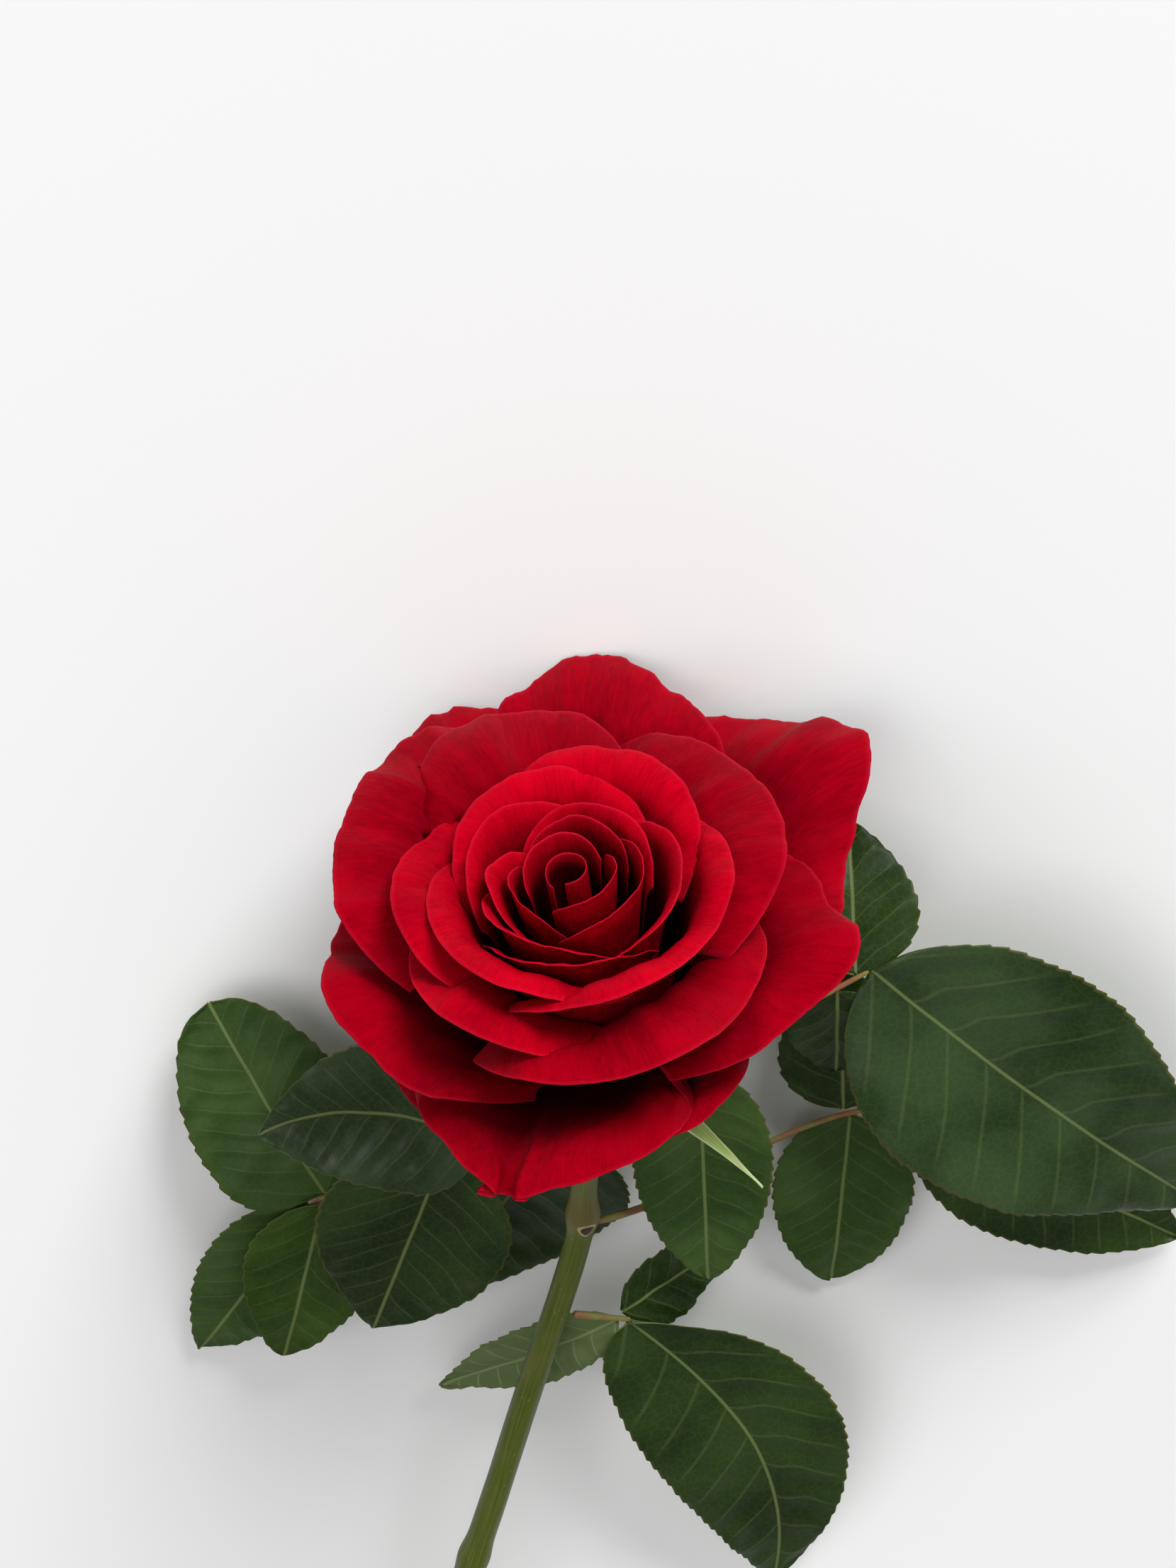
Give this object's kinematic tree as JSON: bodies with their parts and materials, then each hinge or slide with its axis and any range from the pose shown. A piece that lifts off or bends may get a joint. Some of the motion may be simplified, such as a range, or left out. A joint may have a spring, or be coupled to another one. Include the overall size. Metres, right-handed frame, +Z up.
{
  "type": "cut rose",
  "caption": "Cut red rose lying on its side: open bloom of overlapping petals, thorny stem with a slanted cut end and compound leaves.",
  "frame": {"origin": "on the surface that the rose lies on, under the middle of its bounding box", "axes": "+Y along the length of the rose towards the bloom, the cut end of the stem towards -Y, +Z up, +X to the right seen from the cut end"},
  "size_m": [0.2066, 0.4644, 0.0975],
  "materials": {
    "petal": "velvety deep red petal, brighter where it turns to the light, with fine veins and a thin paler edge",
    "sepal": "pale green sepal, downy inside, darker green outside",
    "hip": "smooth mid green hip with a faint bloom",
    "stem": "smooth green stem with long streaks, reddish brown prickles and a pale cut face",
    "leaf_stalk": "thin green leaf stalk flushed with brown",
    "leaflet": "dark green leaflet, glossy above with a net of veins and a pale midrib, paler and matt below"
  },
  "bodies": {
    "root": {"hip": "hip", "leaf_1_leaflet_1": "leaflet", "leaf_1_leaflet_2": "leaflet", "leaf_1_leaflet_3": "leaflet", "leaf_1_leaflet_4": "leaflet", "leaf_1_leaflet_5": "leaflet", "leaf_1_leaflet_6": "leaflet", "leaf_1_leaflet_7": "leaflet", "leaf_1_stalk": "leaf_stalk", "leaf_2_leaflet_1": "leaflet", "leaf_2_leaflet_2": "leaflet", "leaf_2_leaflet_3": "leaflet", "leaf_2_leaflet_4": "leaflet", "leaf_2_leaflet_5": "leaflet", "leaf_2_stalk": "leaf_stalk", "leaf_3_leaflet_1": "leaflet", "leaf_3_leaflet_2": "leaflet", "leaf_3_leaflet_3": "leaflet", "leaf_3_stalk": "leaf_stalk", "leaf_4_leaflet_1": "leaflet", "leaf_4_leaflet_2": "leaflet", "leaf_4_leaflet_3": "leaflet", "leaf_4_stalk": "leaf_stalk", "petal_01": "petal", "petal_02": "petal", "petal_03": "petal", "petal_04": "petal", "petal_05": "petal", "petal_06": "petal", "petal_07": "petal", "petal_08": "petal", "petal_09": "petal", "petal_10": "petal", "petal_11": "petal", "petal_12": "petal", "petal_13": "petal", "petal_14": "petal", "petal_15": "petal", "petal_16": "petal", "petal_17": "petal", "petal_18": "petal", "petal_19": "petal", "petal_20": "petal", "petal_21": "petal", "petal_22": "petal", "petal_23": "petal", "petal_24": "petal", "petal_25": "petal", "petal_26": "petal", "petal_27": "petal", "petal_28": "petal", "petal_29": "petal", "petal_30": "petal", "sepal_1": "sepal", "sepal_2": "sepal", "sepal_3": "sepal", "sepal_4": "sepal", "sepal_5": "sepal", "stem": "stem"}
  },
  "joints": []
}
